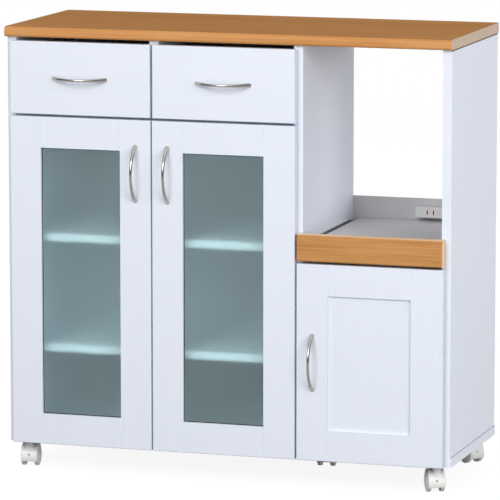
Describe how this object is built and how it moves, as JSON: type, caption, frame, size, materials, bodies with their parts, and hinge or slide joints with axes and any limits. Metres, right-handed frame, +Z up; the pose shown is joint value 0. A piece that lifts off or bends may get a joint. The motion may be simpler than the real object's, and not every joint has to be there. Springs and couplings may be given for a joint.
{
  "type": "kitchen counter cabinet",
  "caption": "White kitchen counter cabinet on casters, with a wood worktop, drawers, frosted glass doors, an open appliance bay over a pull-out tray, and a panelled door below.",
  "frame": {"origin": "on the floor, under the middle of the cabinet's box with its handles", "axes": "+X to the viewer's right as the cabinet is faced, +Y to the back, +Z up; the fronts face -Y"},
  "size_m": [0.896, 0.396, 0.872],
  "materials": {
    "white_board": "satin white foil on particle board",
    "worktop_wood": "satin printed wood grain laminate with a post-formed front edge",
    "tray_wood": "satin wood grain",
    "grey_laminate": "matt grey laminate",
    "hardboard": "matt painted hardboard",
    "frosted_glass": "frosted on the inside",
    "white_plastic": "satin moulded plastic",
    "satin_nickel": "satin nickel plate",
    "zinc_steel": "bright zinc plate",
    "white_steel": "white powder coat",
    "black_steel": "black paint",
    "ivory_nylon": "satin moulded nylon",
    "outlet_plastic": "satin moulded plastic",
    "brass": "rolled strip",
    "black_rubber": "moulded",
    "beech": "planed"
  },
  "bodies": {
    "carcass": {"left_shelves": "white_board", "right_shelf": "white_board", "shelf_pins": "zinc_steel", "base_panel": "white_board", "worktop": "worktop_wood", "left_side_panel": "white_board", "right_side_panel": "white_board", "centre_partition": "white_board", "drawer_deck": "white_board", "tray_deck": "white_board", "drawer_divider": "white_board", "left_back_panel": "hardboard", "right_back_panel": "hardboard", "bay_back_rail": "hardboard", "outlet_gland": "black_rubber", "outlet_housing": "outlet_plastic", "outlet_sockets": "outlet_plastic", "outlet_contacts": "brass", "hinge_arms": "zinc_steel", "hinge_plates": "zinc_steel", "drawer_runners": "beech", "tray_fixed_rails": "white_steel", "caster_plates": "black_steel", "caster_kingpins": "zinc_steel"},
    "left_door": {"left_door_frame": "white_board", "left_door_glass": "frosted_glass", "left_door_beads": "white_plastic", "left_door_hinge_cups": "zinc_steel", "left_door_handle": "satin_nickel"},
    "right_door": {"right_door_frame": "white_board", "right_door_glass": "frosted_glass", "right_door_beads": "white_plastic", "right_door_hinge_cups": "zinc_steel", "right_door_handle": "satin_nickel"},
    "panel_door": {"panel_door_frame": "white_board", "panel_door_panel": "white_board", "panel_door_hinge_cups": "zinc_steel", "panel_door_handle": "satin_nickel"},
    "left_drawer": {"left_drawer_front": "white_board", "left_drawer_walls": "white_board", "left_drawer_bottom": "hardboard", "left_drawer_handle": "satin_nickel"},
    "right_drawer": {"right_drawer_front": "white_board", "right_drawer_walls": "white_board", "right_drawer_bottom": "hardboard", "right_drawer_handle": "satin_nickel"},
    "tray": {"tray_front": "tray_wood", "tray_board": "grey_laminate", "tray_moving_rails": "black_steel"},
    "front_left_caster_swivel": {"front_left_caster_hood": "ivory_nylon"},
    "front_left_caster_wheels": {"front_left_caster_wheels": "ivory_nylon"},
    "front_right_caster_swivel": {"front_right_caster_hood": "ivory_nylon"},
    "front_right_caster_wheels": {"front_right_caster_wheels": "ivory_nylon"},
    "rear_left_caster_swivel": {"rear_left_caster_hood": "ivory_nylon"},
    "rear_left_caster_wheels": {"rear_left_caster_wheels": "ivory_nylon"},
    "rear_right_caster_swivel": {"rear_right_caster_hood": "ivory_nylon"},
    "rear_right_caster_wheels": {"rear_right_caster_wheels": "ivory_nylon"},
    "centre_caster_swivel": {"centre_caster_hood": "ivory_nylon"},
    "centre_caster_wheels": {"centre_caster_wheels": "ivory_nylon"}
  },
  "joints": [
    {"name": "left_drawer_slide", "type": "slide", "parent": "carcass", "child": "left_drawer", "axis": [0, -1, 0], "range_m": [0, 0.23]},
    {"name": "right_drawer_slide", "type": "slide", "parent": "carcass", "child": "right_drawer", "axis": [0, -1, 0], "range_m": [0, 0.23]},
    {"name": "tray_slide", "type": "slide", "parent": "carcass", "child": "tray", "axis": [0, -1, 0], "range_m": [0, 0.2]},
    {"name": "left_door_hinge", "type": "hinge", "parent": "carcass", "child": "left_door", "pos_m": [-0.4275, -0.1625, 0.377], "axis": [0, 0, -1], "range_deg": [0, 90]},
    {"name": "right_door_hinge", "type": "hinge", "parent": "carcass", "child": "right_door", "pos_m": [0.1355, -0.1625, 0.377], "axis": [0, 0, 1], "range_deg": [0, 90]},
    {"name": "panel_door_hinge", "type": "hinge", "parent": "carcass", "child": "panel_door", "pos_m": [0.4275, -0.1625, 0.2455], "axis": [0, 0, 1], "range_deg": [0, 90]},
    {"name": "front_left_caster_turn", "type": "hinge", "parent": "carcass", "child": "front_left_caster_swivel", "pos_m": [-0.414, -0.13, 0.054], "axis": [0, 0, 1], "continuous": true},
    {"name": "front_left_caster_roll", "type": "hinge", "parent": "front_left_caster_swivel", "child": "front_left_caster_wheels", "pos_m": [-0.41619, -0.11617, 0.021], "axis": [0.9877, 0.1564, 0], "continuous": true},
    {"name": "front_right_caster_turn", "type": "hinge", "parent": "carcass", "child": "front_right_caster_swivel", "pos_m": [0.414, -0.13, 0.054], "axis": [0, 0, 1], "continuous": true},
    {"name": "front_right_caster_roll", "type": "hinge", "parent": "front_right_caster_swivel", "child": "front_right_caster_wheels", "pos_m": [0.40786, -0.11742, 0.021], "axis": [0.8988, 0.4384, 0], "continuous": true},
    {"name": "rear_left_caster_turn", "type": "hinge", "parent": "carcass", "child": "rear_left_caster_swivel", "pos_m": [-0.416, 0.16, 0.054], "axis": [0, 0, 1], "continuous": true},
    {"name": "rear_left_caster_roll", "type": "hinge", "parent": "rear_left_caster_swivel", "child": "rear_left_caster_wheels", "pos_m": [-0.41891, 0.17369, 0.021], "axis": [0.9781, 0.2079, 0], "continuous": true},
    {"name": "rear_right_caster_turn", "type": "hinge", "parent": "carcass", "child": "rear_right_caster_swivel", "pos_m": [0.416, 0.16, 0.054], "axis": [0, 0, 1], "continuous": true},
    {"name": "rear_right_caster_roll", "type": "hinge", "parent": "rear_right_caster_swivel", "child": "rear_right_caster_wheels", "pos_m": [0.40576, 0.16955, 0.021], "axis": [0.682, 0.7314, 0], "continuous": true},
    {"name": "centre_caster_turn", "type": "hinge", "parent": "carcass", "child": "centre_caster_swivel", "pos_m": [0.144, 0.038, 0.054], "axis": [0, 0, 1], "continuous": true},
    {"name": "centre_caster_roll", "type": "hinge", "parent": "centre_caster_swivel", "child": "centre_caster_wheels", "pos_m": [0.14302, 0.05197, 0.021], "axis": [0.9976, 0.0698, 0], "continuous": true}
  ]
}
